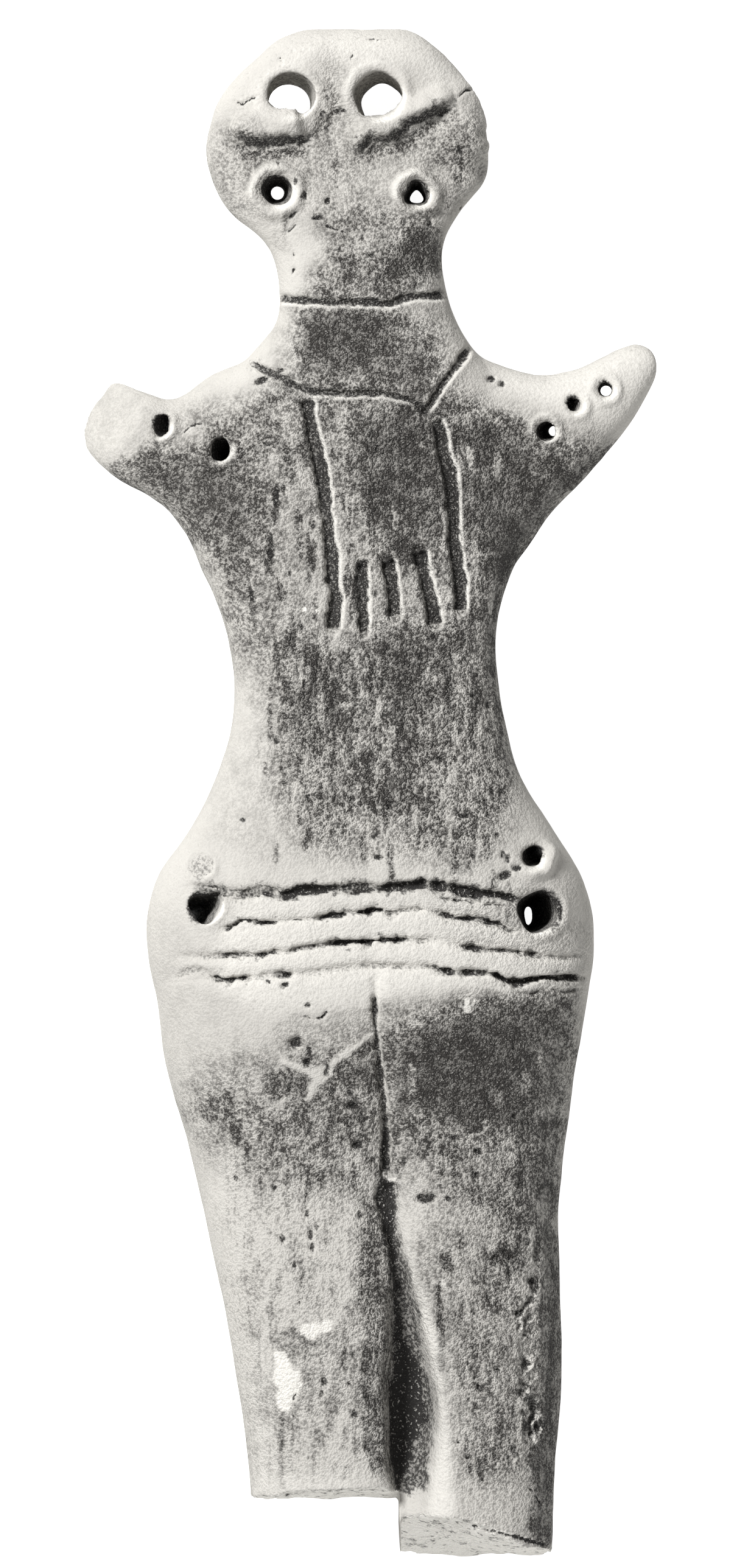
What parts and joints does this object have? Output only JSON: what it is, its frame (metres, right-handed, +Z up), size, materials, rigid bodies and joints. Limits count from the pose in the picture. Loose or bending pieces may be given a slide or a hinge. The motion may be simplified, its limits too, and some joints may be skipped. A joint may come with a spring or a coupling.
{
  "type": "clay idol",
  "caption": "Flat hand-modelled fired clay figurine lying on its back, with a pierced disc head, stub arms, an incised belt and broken legs.",
  "frame": {"origin": "bottom centre of the bounding box: on the surface that the figure lies on, under its middle", "axes": "+Z up, out of the carved front; +Y towards the crown of the head; +X to the viewer's right, looking down on the front"},
  "size_m": [0.06, 0.1597, 0.0193],
  "materials": {
    "fired_clay": "matte, worn and stained fired clay"
  },
  "bodies": {
    "root": {"idol": "fired_clay"}
  },
  "joints": []
}
